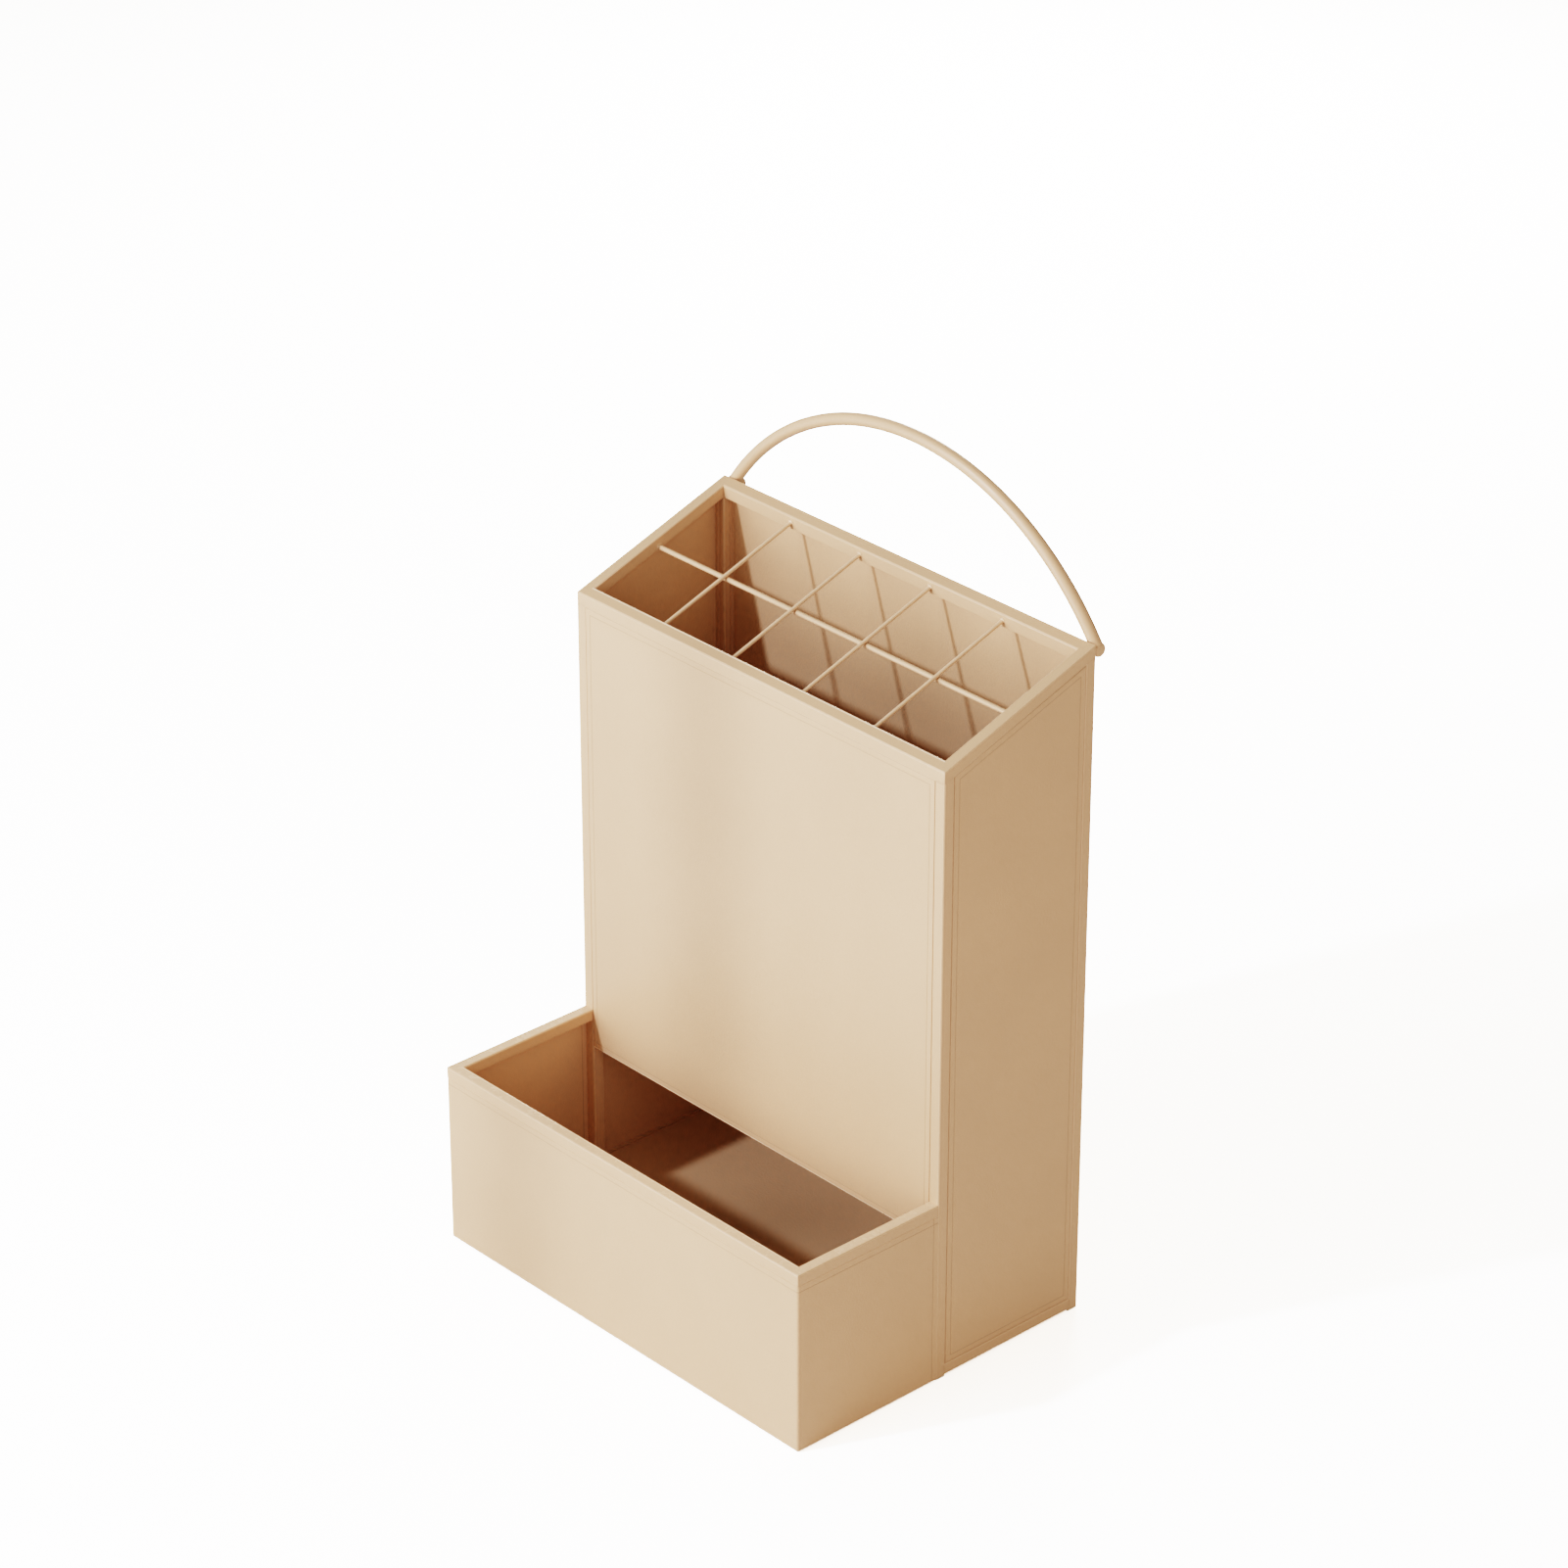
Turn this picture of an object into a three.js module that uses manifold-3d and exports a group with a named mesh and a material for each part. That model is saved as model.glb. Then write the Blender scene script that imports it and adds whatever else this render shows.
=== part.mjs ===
// Umbrella stand: a tall open box under a ten-cell grid, with a low tray in front and an arched
// handle behind. Welded from square steel tube, folded sheet panels and round rod.
// Millimetres, +Z up. The front faces -Y, the floor is at Z = 0, the origin is under the middle.
import * as THREE from "three";
import { mergeVertices } from "three/addons/utils/BufferGeometryUtils.js";
import Module from "manifold-3d";

const wasm = await Module();
wasm.setup();

// ---- overall sizes
const width = 400;
const boxDepth = 150;
const trayDepth = 140;
const trayHeight = 154;
const frontHeight = 514;
const backHeight = 565;

// ---- stock
const tubeSize = 10;
const tubeWall = 1;
const tubeCorner = 0.8;
const sheet = 0.8;
const flangeDepth = 4;
const apronBendRadius = 2;

// ---- front panel, grid and arch
const panelLowerEdge = 120;
const gridColumns = 5;
const crossRodDiameter = 3;
const longRodDiameter = 4;
const archRodDiameter = 10;
const archRise = 97.5;
const archEndBelowRim = 2;
const archEndInset = 7.7;
const endBallOversize = 1.2;

// ---- feet
const footThickness = 1;
const footStemLength = 12;
const footStemClearance = 0.2;

// ---- clearances
const seam = 0.3;
const seat = 0.02;
const slopedSeat = 0.1;
const apronClearance = 0.1;

// ---- mesh fineness
const bendSteps = 4;
const rodSides = 12;
const archSides = 16;
const archSteps = 48;
const ballSteps = 8;

// ---- values that follow from the sizes above
const half = width / 2;
const tubeHalf = tubeSize / 2;
const insideHalf = half - tubeSize;
const insideBackY = boxDepth - tubeSize;
const archRodRadius = archRodDiameter / 2;
const ballRadius = archRodRadius + endBallOversize / 2;
const archPlaneY = boxDepth + ballRadius + seat;
const frontY = trayDepth - (trayDepth + archPlaneY + ballRadius) / 2;
const slope = (backHeight - frontHeight) / boxDepth;
const slopeAngle = Math.atan(slope);
const railHeight = tubeSize / Math.cos(slopeAngle);
const baseTop = footThickness + tubeSize;
const trayRimUnder = trayHeight - tubeSize;
const sides = [["left", -1], ["right", 1]];

// Heights of the sloping rim at a depth y behind the front face of the tall box.
const rimTopAt = (y) => frontHeight + slope * y;
const rimMiddleAt = (y) => rimTopAt(y) - railHeight / 2;
const rimUnderAt = (y) => rimTopAt(y) - railHeight;

// ---- finishes: one powder coat on all the steel, plain plastic on the feet
const cream = 0xe0d0b6;
const tubeFinish = { color: cream, roughness: 0.42, metalness: 0.15 };
const sheetFinish = { color: cream, roughness: 0.45, metalness: 0.15 };
const rodFinish = { color: cream, roughness: 0.4, metalness: 0.15 };
const footFinish = { color: 0xcfc2ab, roughness: 0.7, metalness: 0 };

// ---- helpers
function addPiece(parent, name, finish, geometry, x = 0, y = 0, z = 0) {
  const mesh = new THREE.Mesh(geometry, new THREE.MeshStandardMaterial(finish));
  mesh.name = name;
  mesh.position.set(x, y, z);
  parent.add(mesh);
  return mesh;
}

function toSolid(geometry) {
  const bare = geometry.clone();
  bare.deleteAttribute("normal");
  bare.deleteAttribute("uv");
  const merged = mergeVertices(bare);
  const vertProperties = new Float32Array(merged.attributes.position.array);
  const triVerts = new Uint32Array(merged.index.array);
  return new wasm.Manifold(new wasm.Mesh({ numProp: 3, vertProperties, triVerts }));
}

function toGeometry(solid) {
  const mesh = solid.getMesh();
  const geometry = new THREE.BufferGeometry();
  geometry.setAttribute("position", new THREE.BufferAttribute(mesh.vertProperties, 3));
  geometry.setIndex(new THREE.BufferAttribute(mesh.triVerts, 1));
  geometry.computeVertexNormals();
  return geometry;
}

const cutFrom = (body, cutter) => toGeometry(toSolid(body).subtract(toSolid(cutter)));
const keepInside = (body, keeper) => toGeometry(toSolid(body).intersect(toSolid(keeper)));
const join = (body, other) => toGeometry(toSolid(body).add(toSolid(other)));

const pointsOf = (pairs) => pairs.map(([x, y]) => new THREE.Vector2(x, y));
const outline = (pairs) => new THREE.Shape(pointsOf(pairs));

function extrude(shape, depth) {
  return new THREE.ExtrudeGeometry(shape, { depth, bevelEnabled: false, curveSegments: bendSteps });
}

// Turns for upright extrusions: along X puts the outline's x and y on Y and Z, along Y puts them
// on Z and X.
const unitX = new THREE.Vector3(1, 0, 0);
const unitY = new THREE.Vector3(0, 1, 0);
const unitZ = new THREE.Vector3(0, 0, 1);
const alongX = (geometry) => geometry.applyMatrix4(new THREE.Matrix4().makeBasis(unitY, unitZ, unitX));
const alongY = (geometry) => geometry.applyMatrix4(new THREE.Matrix4().makeBasis(unitZ, unitX, unitY));

// Square with cut corners about the origin; lean raises each point by that much of its x.
function cutSquare(halfX, halfY, corner, lean = 0) {
  const [nearX, nearY] = [halfX - corner, halfY - corner];
  const pairs = [
    [nearX, -halfY],
    [halfX, -nearY],
    [halfX, nearY],
    [nearX, halfY],
    [-nearX, halfY],
    [-halfX, nearY],
    [-halfX, -nearY],
    [-nearX, -halfY],
  ];
  return pairs.map(([x, y]) => [x, y + lean * x]);
}

// Section of the tube: a square of the given height with its bore, leaning when lean isn't zero.
function tubeSection(height = tubeSize, lean = 0) {
  const section = outline(cutSquare(tubeHalf, height / 2, tubeCorner, lean));
  const bore = cutSquare(tubeHalf - tubeWall, height / 2 - tubeWall, tubeCorner / 2, lean);
  section.holes.push(new THREE.Path(pointsOf(bore)));
  return section;
}

const uprightTube = (length) => extrude(tubeSection(), length);
const tubeAlongX = (length) => alongX(uprightTube(length)).translate(-length / 2, 0, 0);
const tubeAlongY = (length) => alongY(uprightTube(length));

// Keeps the part of a rail that stands over its own side of a mitred frame, seen from above.
function mitred(rail, plan) {
  const tall = 2 * backHeight;
  return keepInside(rail, extrude(outline(plan), tall));
}

// Outline moved inwards by one distance along every edge. The pairs run counter-clockwise.
function movedInwards(pairs, distance) {
  const edges = pairs.map(([x, y], i) => {
    const [nextX, nextY] = pairs[(i + 1) % pairs.length];
    const along = new THREE.Vector2(nextX - x, nextY - y).normalize();
    const start = new THREE.Vector2(x - along.y * distance, y + along.x * distance);
    return { start, along };
  });
  return edges.map((edge, i) => {
    const before = edges.at(i - 1);
    const gap = edge.start.clone().sub(before.start);
    const step = gap.cross(edge.along) / before.along.cross(edge.along);
    return before.start.clone().addScaledVector(before.along, step).toArray();
  });
}

// Folded pan lying face down: a sheet with a flange turned up along every edge.
function foldedPan(pairs) {
  const hollow = extrude(outline(movedInwards(pairs, sheet)), flangeDepth);
  return cutFrom(extrude(outline(pairs), flangeDepth), hollow.translate(0, 0, sheet));
}

// ---- the stand, with its tall box at the back and its tray in front
const stand = new THREE.Group();
const tallBox = new THREE.Group();
const tray = new THREE.Group();
tallBox.position.set(0, frontY, 0);
tray.position.set(0, frontY - trayDepth, 0);
stand.add(tallBox, tray);

// ---- four posts, each cut at the top to the slope of the rim
const postX = half - tubeHalf;
for (const [place, middleY] of [["front", tubeHalf], ["rear", boxDepth - tubeHalf]]) {
  const top = rimUnderAt(middleY) - slopedSeat;
  const blank = uprightTube(rimUnderAt(middleY + tubeHalf) - footThickness);
  const cutterSize = 4 * railHeight;
  const above = new THREE.BoxGeometry(cutterSize, cutterSize, cutterSize);
  above.translate(0, 0, cutterSize / 2);
  above.rotateX(slopeAngle);
  above.translate(0, 0, top - footThickness);
  const post = cutFrom(blank, above);
  for (const [side, sign] of sides) {
    const x = sign * postX;
    addPiece(tallBox, `${place}_post_${side}`, tubeFinish, post.clone(), x, middleY, footThickness);
  }
}

// ---- sloping rim: four rails mitred at the corners
const rimSection = tubeSection(railHeight, slope);
const rimPlans = {
  front: [[seat - half, 0], [half - seat, 0], [insideHalf - seat, tubeSize], [seat - insideHalf, tubeSize]],
  rear: [
    [seat - insideHalf, insideBackY],
    [insideHalf - seat, insideBackY],
    [half - seat, boxDepth],
    [seat - half, boxDepth],
  ],
};
for (const [place, middleY] of [["front", tubeHalf], ["rear", boxDepth - tubeHalf]]) {
  const rail = alongX(extrude(rimSection, width)).translate(-half, middleY, rimMiddleAt(middleY));
  addPiece(tallBox, `rim_rail_${place}`, tubeFinish, mitred(rail, rimPlans[place]));
}
for (const [side, sign] of sides) {
  const outer = sign * half;
  const inner = sign * insideHalf;
  const rearMitre = [[outer, boxDepth - seat], [inner, insideBackY - seat]];
  const plan = [[outer, seat], ...rearMitre, [inner, tubeSize + seat]];
  const rail = tubeAlongY(2 * boxDepth).translate(0, -boxDepth / 2, 0);
  rail.rotateX(slopeAngle);
  rail.translate(sign * postX, 0, rimMiddleAt(0));
  addPiece(tallBox, `rim_rail_${side}`, tubeFinish, mitred(rail, plan));
}

// ---- base rails under the floor of the tall box
const baseZ = footThickness + tubeHalf;
const betweenPosts = 2 * (insideHalf - seat);
const sideRailLength = insideBackY - tubeSize - 2 * seat;
for (const [side, sign] of sides) {
  const rail = tubeAlongY(sideRailLength);
  addPiece(tallBox, `base_rail_${side}`, tubeFinish, rail, sign * postX, tubeSize + seat, baseZ);
}
addPiece(tallBox, "base_rail_rear", tubeFinish, tubeAlongX(betweenPosts), 0, boxDepth - tubeHalf, baseZ);
addPiece(tallBox, "base_rail_middle", tubeFinish, tubeAlongX(betweenPosts), 0, tubeHalf, baseZ);

// ---- hidden frame of the tray, set in behind the apron
const trayFrameInset = sheet + apronClearance;
const trayPostX = half - trayFrameInset - tubeHalf;
const trayPostY = trayFrameInset + tubeHalf;
const trayPostLength = trayRimUnder - footThickness - seat;
const traySideStart = trayPostY + tubeHalf + seat;
for (const [side, sign] of sides) {
  const x = sign * trayPostX;
  addPiece(tray, `tray_post_${side}`, tubeFinish, uprightTube(trayPostLength), x, trayPostY, footThickness);
  const rail = tubeAlongY(trayDepth - seat - traySideStart);
  addPiece(tray, `tray_base_rail_${side}`, tubeFinish, rail, x, traySideStart, baseZ);
}
const trayFrontRail = tubeAlongX(2 * (trayPostX - tubeHalf - seat));
addPiece(tray, "tray_base_rail_front", tubeFinish, trayFrontRail, 0, trayPostY, baseZ);

// ---- tray rim: three rails, mitred at the front corners and butted to the front posts
const trayRimZ = trayHeight - tubeHalf;
const trayRimFront = tubeAlongX(width).translate(0, tubeHalf, trayRimZ);
addPiece(tray, "tray_rim_front", tubeFinish, mitred(trayRimFront, rimPlans.front));
for (const [side, sign] of sides) {
  const outer = sign * half;
  const inner = sign * insideHalf;
  const plan = [[outer, seat], [outer, trayDepth], [inner, trayDepth], [inner, tubeSize + seat]];
  const rail = tubeAlongY(trayDepth - seat).translate(sign * postX, 0, trayRimZ);
  addPiece(tray, `tray_rim_${side}`, tubeFinish, mitred(rail, plan));
}

// ---- tray apron: one sheet bent round the front and both sides
const bendX = half - apronBendRadius;
const rearEdge = trayDepth - seam;
const innerBend = apronBendRadius - sheet;
const apronShape = new THREE.Shape();
apronShape.moveTo(-half, rearEdge);
apronShape.absarc(-bendX, apronBendRadius, apronBendRadius, Math.PI, 1.5 * Math.PI, false);
apronShape.absarc(bendX, apronBendRadius, apronBendRadius, 1.5 * Math.PI, 2 * Math.PI, false);
apronShape.lineTo(half, rearEdge);
apronShape.lineTo(half - sheet, rearEdge);
apronShape.absarc(bendX, apronBendRadius, innerBend, 2 * Math.PI, 1.5 * Math.PI, true);
apronShape.absarc(-bendX, apronBendRadius, innerBend, 1.5 * Math.PI, Math.PI, true);
apronShape.lineTo(sheet - half, rearEdge);
const apron = extrude(apronShape, trayRimUnder - seam - footThickness);
addPiece(tray, "tray_apron", sheetFinish, apron, 0, 0, footThickness);

// ---- folded panels of the tall box, each a pan stood up in its opening
const panelHalf = insideHalf - seam;
const panelLow = baseTop + seam;
const frontPanelTop = rimUnderAt(tubeCorner) - seam;
const rearPanelTop = rimUnderAt(boxDepth - flangeDepth) - seam;
const panelRectangle = (low, high) => {
  return [[-panelHalf, low], [panelHalf, low], [panelHalf, high], [-panelHalf, high]];
};

const frontPanel = foldedPan(panelRectangle(panelLowerEdge, frontPanelTop));
frontPanel.rotateX(Math.PI / 2).rotateZ(Math.PI);
addPiece(tallBox, "front_panel", sheetFinish, frontPanel);

const rearPanel = foldedPan(panelRectangle(panelLow, rearPanelTop)).rotateX(Math.PI / 2);
addPiece(tallBox, "rear_panel", sheetFinish, rearPanel, 0, boxDepth);

const sideFrontY = tubeSize + seam;
const sideBackY = insideBackY - seam;
const sidePanelPairs = [
  [sideFrontY, panelLow],
  [sideBackY, panelLow],
  [sideBackY, rimUnderAt(sideBackY) - seam],
  [sideFrontY, rimUnderAt(sideFrontY) - seam],
];
const leftPanel = alongX(foldedPan(sidePanelPairs));
addPiece(tallBox, "left_panel", sheetFinish, leftPanel, -half);

const turnedPairs = sidePanelPairs.map(([y, z]) => [-y, z]).reverse();
const rightPanel = alongX(foldedPan(turnedPairs)).rotateZ(Math.PI);
addPiece(tallBox, "right_panel", sheetFinish, rightPanel, half);

// ---- floor sheet: one piece under tray and box, notched round the six posts
const floorSideX = half - sheet - seam;
const floorBoxX = half - flangeDepth - seam;
const notchX = insideHalf - seam;
const trayNotchX = trayPostX - tubeHalf - seam;
const trayNotchY = trayPostY + tubeHalf + seam - trayDepth;
const floorRightEdge = [
  [trayNotchX, sheet + seam - trayDepth],
  [trayNotchX, trayNotchY],
  [floorSideX, trayNotchY],
  [floorSideX, -seam],
  [notchX, -seam],
  [notchX, tubeSize + seam],
  [floorBoxX, tubeSize + seam],
  [floorBoxX, insideBackY - seam],
  [notchX, insideBackY - seam],
  [notchX, boxDepth - flangeDepth - seam],
];
const floorLeftEdge = floorRightEdge.map(([x, y]) => [-x, y]).reverse();
const floor = extrude(outline([...floorRightEdge, ...floorLeftEdge]), sheet);
addPiece(tallBox, "floor_sheet", sheetFinish, floor, 0, 0, baseTop);

// ---- grid: cross rods along the slope, and one long rod under them at mid-depth
const middleY = boxDepth / 2;
const columnWidth = (2 * insideHalf) / gridColumns;
const crossRadius = crossRodDiameter / 2;
const longRadius = longRodDiameter / 2;
const crossReach = insideBackY - tubeSize - 2 * slopedSeat;
const crossLength = crossReach / Math.cos(slopeAngle) - crossRodDiameter * slope;
for (let i = 1; i < gridColumns; i += 1) {
  const x = i * columnWidth - insideHalf;
  const rod = new THREE.CylinderGeometry(crossRadius, crossRadius, crossLength, rodSides);
  const mesh = addPiece(tallBox, `cross_rod_${i}`, rodFinish, rod, x, middleY, rimMiddleAt(middleY));
  mesh.rotation.x = slopeAngle;
}
const rodDrop = (crossRadius + longRadius + slopedSeat) / Math.cos(slopeAngle);
const longRod = new THREE.CylinderGeometry(longRadius, longRadius, betweenPosts, rodSides);
longRod.rotateZ(Math.PI / 2);
addPiece(tallBox, "long_rod", rodFinish, longRod, 0, middleY, rimMiddleAt(middleY) - rodDrop);

// ---- arched handle behind the rear rail, with a ball on each end
const archHeight = archRise + archEndBelowRim;
const archHalfSpan = half - archEndInset;
const archRadius = (archHalfSpan ** 2 + archHeight ** 2) / (2 * archHeight);
const archCentreZ = backHeight + archRise - archRadius;
const archEndAngle = Math.asin((archRadius - archHeight) / archRadius);
const handle = new THREE.Group();
handle.position.set(0, archPlaneY, archCentreZ);
tallBox.add(handle);

class Arch extends THREE.Curve {
  getPoint(share, target = new THREE.Vector3()) {
    const angle = archEndAngle + share * (Math.PI - 2 * archEndAngle);
    return target.set(archRadius * Math.cos(angle), 0, archRadius * Math.sin(angle));
  }
}
const rodCircle = new THREE.Shape().absarc(0, 0, archRodRadius, 0, 2 * Math.PI);
const archRod = new THREE.ExtrudeGeometry(rodCircle, {
  steps: archSteps,
  curveSegments: archSides / 2,
  extrudePath: new Arch(),
});
addPiece(handle, "arch_rod", rodFinish, archRod);

// The ball is cut flat where the rod's end lands on it.
const ballCutAngle = Math.acos(archRodRadius / ballRadius);
const ballProfile = [new THREE.Vector2(0, -ballRadius)];
for (let step = 1; step <= ballSteps; step += 1) {
  const angle = (step / ballSteps) * (ballCutAngle + Math.PI / 2) - Math.PI / 2;
  ballProfile.push(new THREE.Vector2(Math.cos(angle), Math.sin(angle)).multiplyScalar(ballRadius));
}
const ballFlat = ballRadius * Math.sin(ballCutAngle);
ballProfile.push(new THREE.Vector2(0, ballFlat));
for (const [side, sign] of sides) {
  const endX = archRadius * Math.cos(archEndAngle) + (ballFlat + seat) * Math.sin(archEndAngle);
  const endZ = archRadius * Math.sin(archEndAngle) - (ballFlat + seat) * Math.cos(archEndAngle);
  const ball = new THREE.LatheGeometry(ballProfile, archSides);
  const mesh = addPiece(handle, `arch_end_ball_${side}`, rodFinish, ball, sign * endX, 0, endZ);
  mesh.rotation.set(Math.PI / 2, -sign * archEndAngle, 0, "YXZ");
}

// ---- feet: a plastic plug pushed into the open lower end of each post
const stemSize = tubeSize - 2 * (tubeWall + footStemClearance);
const footHeight = footThickness + footStemLength;
const footCap = extrude(outline(cutSquare(tubeHalf, tubeHalf, tubeCorner)), footThickness);
const footStem = new THREE.BoxGeometry(stemSize, stemSize, footHeight).translate(0, 0, footHeight / 2);
const foot = join(footCap, footStem);
for (const [side, sign] of sides) {
  addPiece(tallBox, `foot_front_${side}`, footFinish, foot.clone(), sign * postX, tubeHalf);
  addPiece(tallBox, `foot_rear_${side}`, footFinish, foot.clone(), sign * postX, boxDepth - tubeHalf);
  addPiece(tray, `foot_tray_${side}`, footFinish, foot.clone(), sign * trayPostX, trayPostY);
}

export default stand;
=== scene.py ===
# %% [markdown]
# # An umbrella stand in powder-coated steel
# The stand is a welded frame of 10 mm square tube with folded sheet panels. Long umbrellas stand
# in the tall box, held apart by a grid of rods, and short ones lie in the tray in front. An arched
# rod at the back is the handle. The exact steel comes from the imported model. This lesson gives
# every piece its soft edges, its welds and its paint, then lights it.

# %% Load the exact steel
import math

import bmesh
import bpy
from mathutils import Matrix, Vector


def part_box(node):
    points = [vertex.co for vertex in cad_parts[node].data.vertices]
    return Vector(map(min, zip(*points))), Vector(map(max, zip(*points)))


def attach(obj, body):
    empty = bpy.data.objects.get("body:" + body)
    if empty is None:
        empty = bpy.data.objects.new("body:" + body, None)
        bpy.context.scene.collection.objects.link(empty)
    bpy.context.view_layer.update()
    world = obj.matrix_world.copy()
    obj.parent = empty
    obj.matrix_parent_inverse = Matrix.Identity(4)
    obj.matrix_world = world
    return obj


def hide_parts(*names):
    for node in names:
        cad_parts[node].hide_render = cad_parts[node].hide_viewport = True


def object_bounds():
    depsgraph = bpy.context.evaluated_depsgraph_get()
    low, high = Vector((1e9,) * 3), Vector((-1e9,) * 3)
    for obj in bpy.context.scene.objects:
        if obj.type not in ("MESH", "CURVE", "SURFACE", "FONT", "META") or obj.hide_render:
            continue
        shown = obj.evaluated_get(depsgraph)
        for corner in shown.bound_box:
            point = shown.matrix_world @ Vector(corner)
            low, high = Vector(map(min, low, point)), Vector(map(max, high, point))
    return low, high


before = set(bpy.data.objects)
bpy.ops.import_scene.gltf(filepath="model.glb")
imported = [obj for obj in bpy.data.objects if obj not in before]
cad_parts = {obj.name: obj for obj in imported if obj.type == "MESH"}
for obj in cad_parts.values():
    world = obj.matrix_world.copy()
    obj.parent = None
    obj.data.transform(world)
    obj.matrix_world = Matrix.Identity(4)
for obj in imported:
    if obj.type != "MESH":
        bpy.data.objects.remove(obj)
cad_low, cad_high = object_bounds()
steel = sorted(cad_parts)
print(len(steel), "pieces in a box of", [round(v, 4) for v in cad_high - cad_low], "metres")

# %% [markdown]
# ## How light becomes a picture
# Pale paint in strong light turns grey and flat if its brightest tones are simply cut off. Filmic
# bends them over gently, as film does, and its strongest contrast look keeps the shadows in the
# box deep. Any other transform could be used, but then the lamps would need tinting to make up.

# %% Set the film response
scene = bpy.context.scene
scene.view_settings.view_transform = "Filmic"
scene.view_settings.look = "Very High Contrast"
print("film response:", scene.view_settings.look)

# %% [markdown]
# ## The camera
# A long lens from far off keeps upright edges nearly parallel, as a product view does. The aim
# point lies a little to the left of the box's middle, and the eye stands to its front right. The
# place is worked out from two angles and a distance, because those are easy to picture and change.

# %% Place the camera
aim = Vector((-0.0427, 0.0574, 0.3869))
turn_round = math.radians(47.59)
look_down = math.radians(27.78)
eye_distance = 4.074
towards_eye = Vector(
    (
        math.sin(turn_round) * math.cos(look_down),
        -math.cos(turn_round) * math.cos(look_down),
        math.sin(look_down),
    )
)
camera = bpy.data.objects.new("camera", bpy.data.cameras.new("camera"))
scene.collection.objects.link(camera)
camera.location = aim + towards_eye * eye_distance
camera.rotation_mode = "QUATERNION"
camera.rotation_quaternion = (-towards_eye).to_track_quat("-Z", "Y")
camera.data.lens = 124.24
camera.data.sensor_width = 36
camera.data.clip_start = 0.1
camera.data.clip_end = 60
scene.camera = camera
print("camera at", [round(v, 3) for v in camera.location])

# %% [markdown]
# ## The key lamp
# A small lamp in front, a little to the left and 36 degrees up, is the only one small enough to
# draw crisp shadows. It throws the thin shadows of the grid rods down the inside of the rear
# panel, and the slanted edge of light on the tray's floor. A sun lamp could do this too, but a lamp
# with a real size and distance is set up the way a studio would do it.

# %% Light the key lamp
def aimed_lamp(name, direction, distance, size, watts, colour):
    """A round area lamp that faces the middle of the stand."""
    lamp = bpy.data.lights.new(name, "AREA")
    lamp.shape = "DISK"
    lamp.size = size
    lamp.energy = watts
    lamp.color = colour
    holder = bpy.data.objects.new(name, lamp)
    scene.collection.objects.link(holder)
    away = Vector(direction).normalized()
    holder.location = (cad_low + cad_high) / 2 + away * distance
    holder.rotation_mode = "QUATERNION"
    holder.rotation_quaternion = (-away).to_track_quat("-Z", "Y")
    return holder


key_lamp = aimed_lamp("key_lamp", (-0.27, -0.76, 0.58), 4.0, 0.2, 74, (0.83, 0.90, 1.0))
print("key lamp at", [round(v, 2) for v in key_lamp.location])

# %% [markdown]
# ## The softboxes
# Three large soft lamps fill what the key leaves. The front one evens out the front panel and the
# apron. The one on the right is weaker and warmer, so the shaded side turns tan. The one behind, on
# the left, picks out the arch and the tops of the rails. Large lamps give no hard shadows.

# %% Light the softboxes
softboxes = {
    "front_softbox": ((-0.35, -1.0, 0.2), 3.0, 2.2, 55, (1.0, 0.98, 0.98)),
    "side_softbox": ((1.0, -0.35, 0.2), 3.0, 1.6, 19, (1.0, 0.80, 0.75)),
    "back_softbox": ((-0.62, 0.75, 0.26), 3.0, 0.9, 30, (1.0, 0.96, 0.90)),
}
for lamp_name, settings in softboxes.items():
    aimed_lamp(lamp_name, *settings)
print("softboxes lit:", ", ".join(softboxes))

# %% [markdown]
# ## The room
# The light of the room comes evenly from all sides and is a little warm, so the inside of the box
# turns brown and not grey. The camera itself sees plain white behind the stand. A Light Path node
# keeps the two apart: only rays that come straight from the camera get the white.

# %% Build the room
room_colour = (0.312, 0.286, 0.232, 1)
backdrop_white = 14.0
world = bpy.data.worlds.new("warm_room")
world.use_nodes = True
scene.world = world
room = world.node_tree.nodes
room.clear()
warm = room.new("ShaderNodeBackground")
warm.inputs["Color"].default_value = room_colour
warm.inputs["Strength"].default_value = 1.0
pale = room.new("ShaderNodeBackground")
pale.inputs["Color"].default_value = (1, 1, 1, 1)
pale.inputs["Strength"].default_value = backdrop_white
seen_directly = room.new("ShaderNodeLightPath")
pick = room.new("ShaderNodeMixShader")
sky = room.new("ShaderNodeOutputWorld")
world.node_tree.links.new(seen_directly.outputs["Is Camera Ray"], pick.inputs["Fac"])
world.node_tree.links.new(warm.outputs["Background"], pick.inputs[1])
world.node_tree.links.new(pale.outputs["Background"], pick.inputs[2])
world.node_tree.links.new(pick.outputs["Shader"], sky.inputs["Surface"])
print("room light is", room_colour[:3])

# %% [markdown]
# ## Small tools for node trees
# The paint is made of a good many small sums. Five helpers keep them readable: they add a node, a
# sum whose inputs may be sockets or plain numbers, a noise whose size is given as cells in a metre,
# the swing of a noise about its middle, and a soft step from one value to another.

# %% Helpers for node trees
def add_node(tree, kind, **values):
    """A new node with some of its own settings made at once."""
    made = tree.nodes.new(kind)
    for setting, value in values.items():
        setattr(made, setting, value)
    return made


def math_node(tree, operation, first, second):
    """A Math node whose two inputs are sockets or plain numbers."""
    made = add_node(tree, "ShaderNodeMath", operation=operation)
    for socket, value in zip(made.inputs, (first, second)):
        if isinstance(value, (int, float)):
            socket.default_value = value
        else:
            tree.links.new(value, socket)
    return made.outputs[0]


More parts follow.
